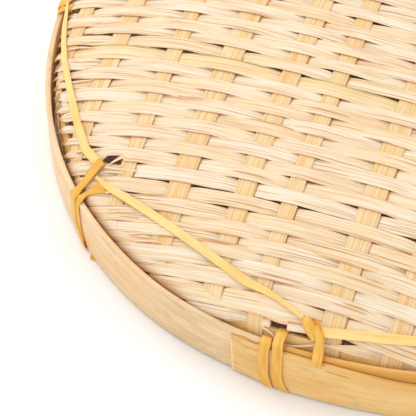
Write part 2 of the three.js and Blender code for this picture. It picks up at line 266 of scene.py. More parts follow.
def on_mat(bench, u, v, level, turn):
    """Nodes that put a point of a strip on the dome or on the turned-down edge of the mat."""
    reach = (u * u + v * v).root()
    share = reach / rim_radius
    slope = (share ** (dome_power - 1) * (dome_rise * dome_power / rim_radius)).reckon("ARCTANGENT")
    dome_out = reach + level * slope.sine()
    dome_up = dome_edge + dome_rise * (1 - share ** dome_power) + level * slope.cosine()
    turned = (bend_slope + (reach - bend_start) / bend_radius).least(math.pi / 2)
    bend_out = bend_centre_out + (bend_radius + level) * turned.sine()
    bend_up = bend_centre_up + (bend_radius + level) * turned.cosine() - (reach - bend_end).most(0)
    past = reach > bend_start
    out = dome_out + past * (bend_out - dome_out)
    up = dome_up + past * (bend_up - dome_up)
    cosine, sine = math.cos(turn), math.sin(turn)
    x = (u * cosine - v * sine) / reach
    y = (u * sine + v * cosine) / reach
    towards = (x * math.cos(press_angle) + y * math.sin(press_angle)).least(1)
    away = towards.reckon("ARCCOSINE") / press_spread
    out = out - away.hump() * press_depth * (out / rim_radius) ** 4
    return bench.vector(x * out + rim_middle.x, y * out + rim_middle.y, up + rim_middle.z)


def bare_strip(bench, segments):
    """A straight strip, from -1 to 1 along, across and in thickness, with slightly crowned faces."""
    rod_sockets = {"Vertices": 12, "Side Segments": segments, "Radius": 1.0, "Depth": 2.0}
    rod = bench.node("GeometryNodeMeshCylinder", {"fill_type": "NGON"}, rod_sockets)
    x, y, z = bench.position()
    crown = 0.42
    return bench.moved(rod, bench.vector(x.sign() * x.size() ** crown, y.sign() * y.size() ** crown, z))


def keep_fibre(bench, geometry, along, across, number):
    """Keeps each point's place along and across its strip, and the strip's number, for the materials."""
    return bench.keep(geometry, "fibre", bench.vector(along, across, number), "FLOAT_VECTOR")


def fibre_place(bench):
    """The kept place along and across the strip, and the strip's number."""
    return bench.parts(bench.stored("fibre", "Vector"))


def streaks(bench, length, breadth, seed, detail=2.0, roughness=0.5):
    """Noise drawn out along a strip, with the length and breadth of its grain in millimetres."""
    along, across, _ = fibre_place(bench)
    return bench.speckle(along / (length * mm), across / (breadth * mm), seed, detail, roughness)


def new_finish(name):
    """An empty node material. Returns the material and its bench."""
    finish = bpy.data.materials.new(name)
    finish.use_nodes = True
    finish.node_tree.nodes.clear()
    return finish, Bench(finish.node_tree)


def painted_warm_underside(bench, colour, underside_shade):
    """The same colour, but a little more yellow on the down-facing faces inside the tray: painted warm
    shade.
    """
    faces = bench.node("ShaderNodeNewGeometry", {}, {}, "Normal")
    return bench.blend(bench.ease(bench.parts(faces)[2], 0.1, -0.25) * 0.7, colour, underside_shade)


mat_glow = dye(255, 146, 40)
glow_share = 0.17


def close_finish(bench, colour, roughness, height, relief, gloss=0.35, glow=None):
    """The surface shader of a bamboo finish, with its relief in metres. The mat's thin strips let some light
    through, in the colour of the glow."""
    bump = bench.node("ShaderNodeBump", {}, {"Strength": 1.0, "Distance": relief, "Height": height})
    sockets = {"Base Color": colour, "Roughness": roughness, "Normal": bump, "Specular IOR Level": gloss}
    shader = bench.node("ShaderNodeBsdfPrincipled", {}, sockets)
    if glow:
        through = bench.node("ShaderNodeBsdfTranslucent", {}, {"Color": glow})
        shader = bench.node("ShaderNodeMixShader", {}, {0: glow_share, 1: shader, 2: through})
    bench.node("ShaderNodeOutputMaterial", {}, {"Surface": shader}, out=())


warp_finish, bench = new_finish("warp bamboo")
number = fibre_place(bench)[2]
grain = streaks(bench, 60, 0.75, number * 3.7, 1.0, 0.5)
fine = streaks(bench, 20, 0.3, number * 5.1, 1.0)
patch = streaks(bench, 22, 6, number * 1.9, 2.0)
cream = bench.blend(bench.ease(patch, 0.3, 0.7), dye(255, 232, 184), dye(252, 218, 156))
colour = bench.blend(bench.ease(grain, 0.48, 0.62) * 0.68, cream, dye(242, 190, 118))
colour = bench.blend(bench.ease(fine, 0.56, 0.8) * 0.35, colour, dye(228, 170, 100))
# Painted warm shade on the down-facing faces inside the tray
colour = painted_warm_underside(bench, colour, dye(245, 205, 136))
roughness = 0.45 + grain * 0.2
close_finish(bench, colour, roughness, grain * 0.7 + fine * 0.3, 0.3 * mm, glow=mat_glow)

# Each warp's distance from the mat's middle as a share of the rim's radius, and its share of the width
warp_width = 9.5 * mm
warp_rows = (
    (-0.905, 0.84), (-0.771, 1.0), (-0.611, 0.84), (-0.461, 1.16), (-0.297, 1.0), (-0.179, 0.84),
    (0.013, 1.16), (0.171, 1.05), (0.321, 0.95), (0.479, 1.1), (0.637, 0.95), (0.784, 1.05), (0.897, 0.84),
)
warps = [(place * rim_radius, breadth * warp_width) for place, breadth in warp_rows]

bench, given = strip_tree("Warp", "Offset", "Width", "Number")
strip = bare_strip(bench, segments=150)
side, thick, share = bench.position()
offset, number = given["Offset"], given["Number"]
tail = bend_end + (5 + bench.speckle(number * 3.3, share.sign(), 0.5) * 6) * mm
v = share * (tail * tail - offset * offset).root()
wobble = bench.waver(1.2 * mm, v / (45 * mm), number * 7.7, 1.5)
half_width = given["Width"] / 2 + bench.waver(0.8 * mm, v / (25 * mm), number * 4.1, side * 2.0)
u = offset + wobble - side * half_width
reach = (u * u + v * v).root()
ripple = bench.waver(0.4 * mm, v / (30 * mm), number * 2.9, 3.5)
level = bench.ease(reach, bend_start, bend_end) * -clamp_level + ripple + thick * strip_thickness / 2
strip = keep_fibre(bench, strip, v, side * half_width, number)
strip = bench.moved(strip, on_mat(bench, u, v, level, weave_angle + warp_skew))
close_tree(bench, strip, given["Material"])

for i, (offset, width) in enumerate(warps):
    name = "warp_%02d" % (i + 1)
    values = {"Offset": offset, "Width": width, "Number": float(i + 1), "Material": warp_finish}
    piece = run_tree("split_" + name, bench.tree, values)
    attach(piece, "root")
    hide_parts(name)


# Wefts
# Pale, thin strips of split bamboo, beaten so tight that each one's edges lie over its neighbours' where
# it passes over a warp. One of them still has the green skin of the culm along an edge.
weft_pitch = 6.3 * mm
weft_width = 7.3 * mm
weft_thickness = 0.72 * mm
weft_count = 56
wefts_per_group = 3
over_level = 0.95 * mm
skin_weft = 18
torn_weft = 9


def is_strip(number, wanted):
    """1 on the strip that has the wanted number, and 0 on the others."""
    return (number - wanted).size() < 0.5


weft_finish, bench = new_finish("weft bamboo")
_, across, number = fibre_place(bench)
painted_shade = bench.stored("painted_shade", "Fac")
bands = streaks(bench, 90, 1.5, number * 3.1, 2.0, 0.6)
fibres = streaks(bench, 45, 0.5, number * 4.7, 2.0, 0.6)
fine = streaks(bench, 16, 0.24, number * 6.3, 1.0)
clouds = streaks(bench, 28, 5, number * 2.3, 2.0)
tone = bench.speckle(number * 3.77, 0.5, 0.5, 0.0)
ground = bench.blend(bench.ease(tone, 0.35, 0.65), dye(255, 241, 208), dye(254, 230, 182))
ground = bench.blend(bench.ease(clouds, 0.42, 0.72) * 0.65, ground, dye(250, 211, 164))
colour = bench.blend(bench.ease(bands, 0.5, 0.68) * 0.65, ground, dye(240, 196, 142))
colour = bench.blend(bench.ease(fibres, 0.54, 0.72) * 0.7, colour, dye(231, 179, 119))
colour = bench.blend(bench.ease(fine, 0.55, 0.8) * 0.35, colour, dye(214, 156, 98))
colour = bench.blend(bench.ease(fibres, 0.51, 0.36) * 0.8, colour, dye(255, 252, 234))
splits = streaks(bench, 34, 0.6, number * 8.9, 0.0)
colour = bench.blend(bench.ease(splits, 0.69, 0.74) * 0.75, colour, dye(196, 140, 80))
# Painted shade from the kept values: brown beside the warps and along the left rim, deeper brown at the
# cut-short ends
colour = bench.blend(bench.ease(painted_shade, 0.15, 0.85) * 0.75, colour, dye(178, 110, 40))
colour = bench.blend(bench.ease(painted_shade, 1, 2) * 0.75, colour, dye(134, 82, 34))
# Painted warm shade on the down-facing faces inside the tray
colour = painted_warm_underside(bench, colour, dye(248, 212, 150))
skinned = is_strip(number, skin_weft)
skin = bench.ease(across + (fibres - 0.5) * 1.2 * mm, 2.9 * mm, 3.4 * mm) * skinned
colour = bench.blend(skinned * 0.35, colour, dye(253, 234, 168))
colour = bench.blend(skin * 0.9, colour, dye(190, 172, 88))
roughness = 0.42 + fibres * 0.25
height = bands * 0.5 + fibres * 0.35 + fine * 0.15
close_finish(bench, colour, roughness, height, 0.25 * mm, glow=mat_glow)

bench, given = strip_tree("Wefts", "Pitch", "Width", whole=("First row", "Rows"))
spots = bench.node("GeometryNodePoints", {}, {"Count": given["Rows"]})
spots = bench.keep(spots, "row", bench.node("GeometryNodeInputIndex") + given["First row"])
strip = bare_strip(bench, segments=240)
strips = bench.node("GeometryNodeInstanceOnPoints", {}, {"Points": spots, "Instance": strip})
strips = bench.node("GeometryNodeRealizeInstances", {}, {"Geometry": strips})
row = bench.kept("row")
side, thick, share = bench.position()

# Rows that are beaten closer or pushed off: the row, how far it is shifted in mm, and how many rows with it
bunches = (
    (5.7, -3.3, 2.2), (16.7, -1.1, 2.5), (19.7, 2.0, 1.0), (25.0, -1.5, 1.2),
    (0.0, -0.7, 0.6), (-1.0, -3.0, 0.5), (weft_count, 3.0, 0.5),
)
bunched = 0.0
for at, shift, spread in bunches:
    bunched = bunched + ((row - at) / spread).hump() * shift * mm
middle = (row - (weft_count - 1) / 2) * given["Pitch"] + bunched

# Where each weft ends: inside the rim, or short of the hoop on the left, where its tails are cut off
tail = bend_end + (4 + bench.speckle(row * 3.3, share.sign(), 0.5) * 7) * mm
cut_short = bench.ease(row, 7, 10) * bench.ease(row, 30, 26) * (share < 0)
tail = tail - cut_short * (10 + bench.speckle(row * 4.7, side * 1.2, 6.5, 0.0) * 7) * mm
half_length = (tail * tail - middle * middle).root()
u = share * half_length
wander = bench.waver(1.3 * mm, u / (50 * mm), row * 7.7, 1.5)
edge_noise = bench.waver(0.9 * mm, u / (22 * mm), row * 4.1, side * 2.0)

# Over one warp and under the next: the swing goes from 1 to -1 and back between neighbouring warps
straight_u = u + (middle + wander) * math.tan(warp_skew)
swing = 1.0
for i in range(len(warps) - 1):
    start = warps[i][0] / math.cos(warp_skew) + 0.3 * warps[i][1]
    end = warps[i + 1][0] / math.cos(warp_skew) - 0.3 * warps[i + 1][1]
    swing = swing + bench.ease(straight_u, start, end, 0.0, -2.0 if i % 2 == 0 else 2.0)
# Painted shadow: a thin brown line along the side of each warp where u grows, on the weft where it dives
# under that warp
warp_shadow = 0.0
for place, breadth in warps:
    warp_edge = place / math.cos(warp_skew) + breadth / 2
    warp_shadow = warp_shadow + bench.ease(straight_u, warp_edge - 0.4 * mm, warp_edge)
    warp_shadow = warp_shadow - bench.ease(straight_u, warp_edge + 0.1 * mm, warp_edge + 0.9 * mm)
swing = swing * ((row % 2.0) * 2 - 1)
warp_shadow = warp_shadow * bench.ease(swing, -0.3, -0.8)
lens = 1 - 0.06 * swing.size()
swing = swing.most(0) ** 1.2 - (swing.least(0) * -1) ** 4

# Wear: the row in the hem is broken out beside the third lashing and droops there, ends are frayed narrow,
# and one weft is torn beside the second lashing
own_width = given["Width"] + bench.waver(2.4 * mm, row * 5.9, 0.5, 2.5)
own_width = own_width + is_strip(row, skin_weft) * 1.4 * mm
half_width = own_width * lens / 2 + edge_noise
last_row = row < -0.5
worn = last_row * bench.ease(u, -22 * mm, -19 * mm) * bench.ease(u, 32 * mm, 6 * mm)
half_width = half_width * (1 - last_row * 0.18) * (1 - worn * 0.84)
from_end = (1 - share.size()) * half_length
slack = bench.speckle(row * 2.3, share.sign() * 3, 8.5, 0.0)
half_width = half_width * (1 - bench.ease(from_end, 32 * mm, 8 * mm) * bench.ease(slack, 0.35, 0.65) * 0.5)
half_width = half_width * (1 - cut_short * bench.ease(from_end, 10 * mm, 0) * 0.6)
droop = last_row * bench.ease(u, -19 * mm, -9 * mm) * bench.ease(u, 12 * mm, -7 * mm)
first_row = is_strip(row, 0) * bench.ease(side, 0.6, -1)
sag = ((u + 12 * mm) / (7 * mm)).hump() * 1.3 * mm + bench.ease(u, 12 * mm, 28 * mm) * 0.9 * mm
torn = bench.ease(u, -124 * mm, -122 * mm) * bench.ease(u, -112 * mm, -115 * mm)
above_tear = torn * is_strip(row, torn_weft) * bench.ease(side, 0.3, -0.5)
below_tear = torn * is_strip(row, torn_weft - 1) * bench.ease(side, -0.3, 0.5)
v = middle + wander + side * half_width - worn * 2.6 * mm - droop * 5.2 * mm
v = v + above_tear * 2.6 * mm - below_tear * 1.0 * mm - first_row * (sag + 2.2 * mm)
v = v + is_strip(row, weft_count - 1) * bench.ease(side, -0.6, 1) * 1.8 * mm

# The level off the mat's middle surface, eased to the clamped level in the hem
reach = (u * u + v * v).root()
hem = bench.ease(reach, bend_start - 1 * mm, bend_start + 8 * mm)
hem_level = clamp_level - last_row * (1 - worn) * bench.ease(swing, 0.3, -0.3) * 2 * mm
ripple = bench.waver(0.5 * mm, u / (26 * mm), row * 2.9, 3.5)
tilt = bench.waver(0.9 * mm, row * 9.1, u / (90 * mm), 4.5) * side
weave = swing * over_level + ripple + tilt
crown = (1 - side * side) * 0.12 * mm
level = weave + hem * (hem_level - weave) + crown + thick * weft_thickness / 2
# Painted shade: the cut-short ends darken to brown over their last 8 mm
shaded_end = cut_short * bench.ease(from_end, 8 * mm, 1 * mm) * 1.5
# Near the left rim the strips' ends darken to brown, partly painted shade and partly grime
rim_shade_and_grime = bench.ease(reach, bend_start + 2 * mm, bend_end) * bench.ease(u, -40 * mm, -70 * mm) * 0.9
strips = keep_fibre(bench, strips, u, side * half_width, row)
# Keeps the painted shade for the material: the line beside the warps away from the hem, and the darker of
# the shaded ends and the left rim
strips = bench.keep(strips, "painted_shade", warp_shadow * (1 - hem) + shaded_end.most(rim_shade_and_grime))
strips = bench.moved(strips, on_mat(bench, u, v, level, weave_angle))
close_tree(bench, strips, given["Material"])

for group in range(math.ceil(weft_count / wefts_per_group)):
    first = group * wefts_per_group
    after = min(first + wefts_per_group, weft_count)
    # The first and the last group have one more row, which lies in the hem
    if first == 0:
        first = -1
    if after == weft_count:
        after += 1
    values = {"First row": first, "Rows": after - first, "Material": weft_finish}
    values.update({"Pitch": weft_pitch, "Width": weft_width})
    piece = run_tree("wefts_%02d" % (group + 1), bench.tree, values)
    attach(piece, "root")
    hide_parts("weft_group_%02d" % (group + 1))


# Inner hoop
# A thick strip of split bamboo, bent to a ring inside the turned-down edge of the mat. It shows in the gaps
# between the last strips and the rim, worn smooth and more amber than the mat.
hoop_thickness = 4.6 * mm
hoop_height = 13 * mm
hoop_inner = hoop_outer - hoop_thickness
hoop_top = bend_centre_up + 7.6 * mm
hoop_bottom = hoop_top - hoop_height

hoop_finish, bench = new_finish("hoop bamboo")
fibres = streaks(bench, 60, 0.8, 0.5, 2.0, 0.6)
clouds = streaks(bench, 30, 5, 3.5, 2.0)
ground = bench.blend(bench.ease(clouds, 0.35, 0.7), dye(255, 222, 156), dye(254, 208, 130))
colour = bench.blend(bench.ease(fibres, 0.5, 0.8) * 0.45, ground, dye(230, 166, 84))
close_finish(bench, colour, 0.42 + fibres * 0.2, fibres, 0.15 * mm)


def rim_place(out, angle, up):
    """A place by its distance from the rim's axis, its angle, and its height over the band's bottom."""
    near = pressed(out, angle)
    return rim_middle + Vector((near * math.cos(angle), near * math.sin(angle), up))


def turned_strip(name, finish, angles, outline_at, fibre_number, closed):
    """A strip bent round the rim's middle: its outline at each angle is joined to the next one's."""
    places, fibres = [], []
    run = 0.0
    for i, angle in enumerate(angles):
        outline = outline_at(angle)
        if i:
            run += (angle - angles[i - 1]) * rim_radius
        girth = 0.0
        for j, (out, up) in enumerate(outline):
            if j:
                girth += math.hypot(out - outline[j - 1][0], up - outline[j - 1][1])
            places.append(rim_place(out, angle, up))
            fibres.append((run, girth, fibre_number(angle)))
    count = len(outline)
    faces = []
    last = len(angles) if closed else len(angles) - 1
    for i in range(last):
        here = i * count
        there = (i + 1) % len(angles) * count
        for j in range(count):
            k = (j + 1) % count
            faces.append((here + j, there + j, there + k, here + k))
    if not closed:
        faces.append(tuple(range(count)))
        faces.append(tuple(reversed(range((len(angles) - 1) * count, len(angles) * count))))
    mesh = bpy.data.meshes.new(name)
    mesh.materials.append(finish)
    mesh.from_pydata(places, [], faces)
    kept = mesh.attributes.new("fibre", "FLOAT_VECTOR", "POINT")
    kept.data.foreach_set("vector", np.array(fibres, dtype=np.float32).ravel())
    mesh.shade_smooth()
    mesh.set_sharp_from_angle(angle=sharp_edge)
    return new_object(name, mesh)


def rounded_outline(inner, outer, bottom, top, radius, steps):
    """A box with round corners in the plane through the axis, from the lower outer corner round."""
    points = []
    corners = ((outer, bottom, -90), (outer, top, 0), (inner, top, 90), (inner, bottom, 180))
    for corner_out, corner_up, start in corners:
        middle_out = corner_out + (radius if corner_out == inner else -radius)
        middle_up = corner_up + (radius if corner_up == bottom else -radius)
        for step in range(steps + 1):
            turn = math.radians(start + 90 * step / steps)
            points.append((middle_out + radius * math.cos(turn), middle_up + radius * math.sin(turn)))
    return points


def hoop_outline(angle):
    """Flat inside, rounded over the top, and shaped to the turn of the mat outside."""
    swell = 0.12 * mm * math.sin(angle * 5) + 0.08 * mm * math.sin(angle * 13 + 1)
    foot = rounded_outline(hoop_inner, hoop_outer, hoop_bottom + swell, hoop_top, 1.6 * mm, 3)
    half = len(foot) // 4
    points = foot[:half]
    for step in range(5):
        turn = math.radians(step * 6)
        out = bend_centre_out + hoop_reach * math.cos(turn)
        points.append((out, bend_centre_up + hoop_reach * math.sin(turn)))
    points += [(hoop_inner + 2.5 * mm, hoop_top), (hoop_inner + 1.2 * mm, hoop_top - 0.2 * mm)]
    points += [(hoop_inner + 0.4 * mm, hoop_top - 0.8 * mm), (hoop_inner, hoop_top - 2 * mm)]
    return points + foot[-half:]


hoop_angles = [math.radians(step * 1.5) for step in range(240)]
piece = turned_strip("hoop_rod", hoop_finish, hoop_angles, hoop_outline, lambda angle: 0.0, True)
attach(piece, "root")
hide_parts("inner_hoop")


# Rim band
# One strip of split culm, bent a sixth longer than a full turn, so that its outer end laps over its inner
# one. The lap stands off a little, its end is sawn and frayed, and its top edge lies lower there.
band_height = 27 * mm
lap_start = 240.9
lap_turn = 60.6
lap_settle = 40
lap_gap = 0.3 * mm
lap_drop = 0.8 * mm
lap_dip = 5 * mm
lap_dip_run = 29.6
lap_dip_spread = 11
band_steps = 841


def smooth(value, start, end):
    """Goes smoothly from 0 to 1 while value goes from start to end."""
    share = min(max((value - start) / (end - start), 0), 1)
    return share * share * (3 - 2 * share)


def band_offset(run):
    """How far the strip lies off its first layer, after so many degrees from its outer end."""
    return (band_thickness + lap_gap) * (1 - smooth(run, lap_turn, lap_turn + lap_settle))


def band_top(run):
    """The height of the strip's top edge, with the dip where the lap is worn."""
    settled = smooth(run, lap_turn, lap_turn + lap_settle)
    dip = math.exp(-(((run - lap_dip_run) / lap_dip_spread) ** 2))
    return band_height - lap_drop * (1 - settled) - lap_dip * dip


def band_outline(angle):
    """The band's section, pared thin and frayed towards the cut end of the lap."""
    run = math.degrees(angle) - lap_start
    inner = band_inner + band_offset(run)
    wave = 0.25 * mm * math.sin(angle * 7 + 0.5) + 0.15 * mm * math.sin(angle * 17)
    frayed = (1 - smooth(run, 3, 8)) * (0.9 + 0.9 * math.sin(run * 7) * math.sin(run * 17 + 2)) * mm
    pared = 1.7 * mm * (1 - smooth(run, -1, 9))
    outer = inner + band_thickness - pared
    return rounded_outline(inner - pared * 0.1, outer, 0.0, band_top(run) + wave - frayed, 0.4 * mm, 2)


band_finish, bench = new_finish("band bamboo")
along, across, number = fibre_place(bench)
fibres = streaks(bench, 90, 0.55, 0.5, 3.0, 0.6)
fine = streaks(bench, 30, 0.25, 2.5, 1.0)
clouds = streaks(bench, 40, 9, 4.5, 2.0)
grey = streaks(bench, 16, 7, 9.5, 3.0, 0.6)
first_layer = bench.blend(bench.ease(clouds, 0.35, 0.7), dye(245, 214, 172), dye(237, 199, 150))
lap_layer = bench.blend(bench.ease(clouds, 0.35, 0.7), dye(240, 200, 132), dye(231, 182, 106))
ground = bench.blend(number.most(0), first_layer, lap_layer)
colour = bench.blend(bench.ease(fibres, 0.5, 0.74) * 0.6, ground, dye(202, 150, 86))
colour = bench.blend(bench.ease(fine, 0.6, 0.8) * 0.25, colour, dye(188, 138, 82))
colour = bench.blend(bench.ease(grey, 0.58, 0.75) * 0.45, colour, dye(176, 158, 118))
stained = bench.ease(along, 1120 * mm, 1170 * mm) * bench.ease(number, -0.6, -0.1)
stains = streaks(bench, 20, 5, 13.5, 3.0, 0.6)
colour = bench.blend(stained * bench.ease(stains, 0.35, 0.65) * 0.5, colour, dye(202, 172, 120))
# Painted shade: where the strip lies behind the lap, its face turns deep amber for the shade in the gap
# between the layers, paler over its top edge
behind = bench.ease(number, 0, -1)
gap_shade = bench.blend(bench.ease(across, 27 * mm, 29.5 * mm), dye(212, 148, 36), dye(236, 184, 90))
colour = bench.blend(behind * bench.ease(fibres, 0.75, 0.4, 0.6, 0.95), colour, gap_shade)
on_lap = number > 0.5
from_crack = (along - 53 * mm) / (7 * mm)
crack_line = 22.6 * mm - from_crack * 0.7 * mm + (fibres - 0.5) * 1.6 * mm
crack = bench.ease((across - crack_line).size(), 0.55 * mm, 0.15 * mm)
crack = crack * bench.ease(from_crack.size(), 1.0, 0.6) * on_lap
colour = bench.blend(crack * 0.7, colour, dye(150, 96, 50))
sawn = bench.ease(along, 1.2 * mm, 0.2 * mm) * on_lap
colour = bench.blend(sawn * 0.6, colour, dye(255, 236, 200))
frayed = bench.ease(along, 24 * mm, 8 * mm) * bench.ease(across, 15 * mm, 22 * mm) * on_lap
grooves = streaks(bench, 18, 0.9, 7.5, 1.0)
colour = bench.blend(frayed * bench.ease(grooves, 0.48, 0.6) * 0.7, colour, dye(206, 140, 62))
close_finish(bench, colour, 0.45 + fibres * 0.2, fibres * 0.7 + fine * 0.3, 0.18 * mm)


def lap_share(angle):
    """1 on the lap, 0 on the rest of the strip, and -1 where the strip lies behind the lap."""
    run = math.degrees(angle) - lap_start
    return 1 - smooth(run, lap_turn, lap_turn + 20) - smooth(run, 363, 368)


band_angles = np.radians(np.linspace(lap_start, lap_start + 360 + lap_turn, band_steps)).tolist()
piece = turned_strip("rim_strip", band_finish, band_angles, band_outline, lap_share, False)
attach(piece, "root")
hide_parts("rim_band")


# Lashings
# Flat strips split from the culm's skin, golden and supple. At each of nine stations one is wound twice
# round band, mat edge and hoop, pulled tight, and hitched over itself before it runs on to the next.
lash_width = 5.2 * mm
lash_thickness = 0.7 * mm
station_angles = (168.9, 207.4, 247.6, 287.7, 327.0, 8.5, 47.6, 87.9, 128.1)
hitch_station = station_angles[2]


def strand_mesh(name, strands):
    """Edges along each strand, with the way its face looks and its breadth kept at each point."""
    points, edges, faces_out, breadths = [], [], [], []
    for strand in strands:
        first = len(points)
        for i, (place, face, breadth) in enumerate(strand):
            points.append(place)
            faces_out.append(face)
            breadths.append(breadth)
            if i:
                edges.append((first + i - 1, first + i))
    mesh = bpy.data.meshes.new(name)
    mesh.from_pydata(points, edges, [])
    kept_faces = mesh.attributes.new("face", "FLOAT_VECTOR", "POINT")
    kept_faces.data.foreach_set("vector", np.array(faces_out).ravel())
    kept_breadths = mesh.attributes.new("breadth", "FLOAT", "POINT")
    kept_breadths.data.foreach_set("value", np.array(breadths))
    return mesh


bench, given = strip_tree("Wound strip", "Width", "Thickness", "Number", "Step")
path = bench.node("GeometryNodeMeshToCurve", {}, {"Mesh": given["Geometry"]})
path = bench.node("GeometryNodeCurveSplineType", {"spline_type": "CATMULL_ROM"}, {"Curve": path})
path = bench.node("GeometryNodeResampleCurve", {"mode": "LENGTH"}, {"Curve": path, "Length": given["Step"]})
heading = bench.node("GeometryNodeInputTangent")
face = bench.kept("face", "FLOAT_VECTOR")
square_to = {"operation": "CROSS_PRODUCT"}
sideways = bench.node("ShaderNodeVectorMath", square_to, {0: heading, 1: face})
square_face = bench.node("ShaderNodeVectorMath", square_to, {0: sideways, 1: heading})
path = bench.node("GeometryNodeSetCurveNormal", {"mode": "FREE"}, {"Curve": path, "Normal": square_face})
path = bench.keep(path, "run", bench.node("GeometryNodeSplineParameter", {}, {}, "Length"))
ring = bench.node("GeometryNodeCurvePrimitiveCircle", {"mode": "RADIUS"}, {"Resolution": 12, "Radius": 1.0})
x, y, z = bench.position()
thick = x.sign() * x.size() ** 0.22 * given["Thickness"] / 2
side = y.sign() * y.size() ** 0.45 * given["Width"] / 2
ring = bench.moved(ring, bench.vector(thick, side, 0.0))
ring = bench.keep(ring, "side", bench.position()[1])
sweep = {"Curve": path, "Profile Curve": ring, "Scale": bench.kept("breadth"), "Fill Caps": True}
wound = bench.node("GeometryNodeCurveToMesh", {}, sweep)
wound = keep_fibre(bench, wound, bench.kept("run"), bench.kept("side"), given["Number"])
close_tree(bench, wound, given["Material"])
wound_tree = bench.tree


def wind(name, strands, width, thickness, number, step, finish):
    """Runs a flat strip along each strand, all as one piece."""
    values = {"Width": width, "Thickness": thickness, "Number": number, "Step": step, "Material": finish}
    return run_tree(name, wound_tree, values, strand_mesh(name, strands))


def skin_finish(name, fibre_length, cloud_length, pale, deep, fibre_dye, fibre_share, dullness, relief):
    """The look of a strip split from the culm's skin: dark fibres on a softly clouded ground."""
    finish, bench = new_finish(name)
    number = fibre_place(bench)[2]
    fibres = streaks(bench, fibre_length, 0.45, number * 3.3, 2.0, 0.6)
    clouds = streaks(bench, cloud_length, 4, number * 1.7, 2.0)
    ground = bench.blend(bench.ease(clouds, 0.35, 0.7), pale, deep)
    colour = bench.blend(bench.ease(fibres, 0.5, 0.8) * fibre_share, ground, fibre_dye)
    close_finish(bench, colour, dullness + fibres * 0.2, fibres, relief, 0.5)
    return finish


lash_finish = skin_finish(
    "lashing bamboo",
    fibre_length=40,
    cloud_length=18,
    pale=dye(240, 188, 84),
    deep=dye(228, 163, 46),
    fibre_dye=dye(196, 126, 30),
    fibre_share=0.55,
    dullness=0.34,
    relief=0.15 * mm,
)


def outer_face(degrees):
    """Outer face and top edge of the band's outermost layer at an angle, in millimetres."""
    run = (degrees - lap_start) % 360
    return (band_inner + band_offset(run) + band_thickness) / mm, band_top(run) / mm


def leaning(angle, tilt):
    """The way a face looks that is tilted outwards from straight up, at an angle round the rim."""
    return Vector((math.sin(tilt) * math.cos(angle), math.sin(tilt) * math.sin(angle), math.cos(tilt)))


def strand(stops, about):
    """A strand through stops: distance, angle and height in millimetres and degrees, the lean of its face
    from straight up (0) to outwards (90), and its breadth as a share of the whole strip's."""
    points = []
    for out, turn, up, lean, breadth in stops:
        angle = math.radians(about + turn)
        points.append((rim_place(out * mm, angle, up * mm), leaning(angle, math.radians(lean)), breadth))
    return points


def down_the_band(angle, shift, run, lift):
    """Stops from the top of the band down its outermost layer and under it, run degrees along."""
    outer, top = outer_face(angle + shift)
    return [
        (outer + lift, shift, top - 1.2, 84, 1.0),
        (outer + lift + 0.1, shift - 0.1, top * 0.7, 90, 1.0),
        (outer + lift + 0.1, shift, top * 0.4, 90, 1.0),
        (outer + lift, shift + run * 0.6, 4.0, 92, 1.0),
        (outer + lift - 0.2, shift + run * 0.96, 0.5, 112, 0.9),
        (outer - 1.6, shift + run, -0.6, 178, 0.9),
        (187.2, shift + run, -0.6, 180, 1.0),
    ]


def up_the_hoop(start, end):
    """Stops on the inside: from under the band up past the hoop to the mat's underside."""
    return [
        (186.1, start, 0.9, 205, 1.0),
        (184.0, start, 6.5, 222, 1.0),
        (179.3, start, 14.0, 258, 1.0),
        (179.0, start * 0.6 + end * 0.4, 22.0, 270, 1.0),
        (178.0, end, 29.0, 285, 1.0),
    ]


def first_turn(angle):
    """Up through the mat, over its edge and the band, down the band and back up inside the hoop."""
    over = [
        (174.0, -1.6, 36.6, -90, 1.0),
        (173.2, -1.6, 38.9, -50, 1.0),
        (174.4, -1.5, 39.6, 14, 1.0),
        (177.1, -1.3, 38.1, 27, 1.0),
        (180.3, -0.9, 36.3, 36, 1.0),
        (183.6, -0.7, 33.2, 50, 0.85),
        (186.3, -0.8, 29.9, 46, 0.8),
        (188.9, -0.6, 28.6, 28, 1.0),
        (190.6, -0.4, 28.0, 45, 1.0),
    ]
    return over + down_the_band(angle, -0.3, 2.6, 0.95) + up_the_hoop(2.3, -1.2)


def second_turn(angle):
    """The other turn starts under the next chord, twists, and lies under the first one on the band."""
    over = [
        (175.8, 3.4, 35.9, 27, 1.0),
        (177.0, 2.9, 36.1, 30, 1.0),
        (178.9, 2.4, 35.7, 40, 1.0),
        (181.0, 1.8, 34.6, 50, 0.95),
        (183.1, 1.3, 32.9, 62, 0.7),
        (184.9, 0.9, 30.6, 66, 0.45),
        (186.7, 0.7, 29.0, 44, 0.6),
        (188.7, 0.8, 28.5, 28, 0.9),
    ]
    if angle == station_angles[0]:
        # Here it starts low, beside the hoop
        over[:4] = [(182.6, 1.5, 29.0, -60, 0.5), (182.2, 1.5, 33.0, 20, 0.6)]
    return over + down_the_band(angle, 0.7, 1.0, 0.4) + up_the_hoop(1.9, 2.0)


def loose_end(angle):
    """The strip's own end, tucked in under the rim and cut off just outside it."""
    outer = outer_face(angle + 4.6)[0]
    return [(184.0, 3.2, -0.4, 180, 0.8), (188.0, 4.2, -0.7, 180, 0.8), (outer + 0.6, 4.9, -0.55, 172, 0.6)]


def lapped_band(shift, run):
    """Stops down the outside of the lap at the third lashing, run degrees along at its foot."""
    outer, top = outer_face(hitch_station + shift)
    return [
        (outer + 0.4, shift + 0.2, top - 1.0, 80, 1.0),
        (outer + 0.6, shift + 0.1, top * 0.75, 90, 1.0),
        (outer + 0.6, shift, top * 0.4, 90, 1.0),
        (outer + 0.5, shift + run * 0.3, 4.5, 92, 1.0),
        (outer + 0.3, shift + run * 0.9, 0.6, 112, 0.95),
        (outer - 1.4, shift + run, -0.6, 178, 0.95),
        (187.2, shift + run, -0.6, 180, 1.0),
    ]


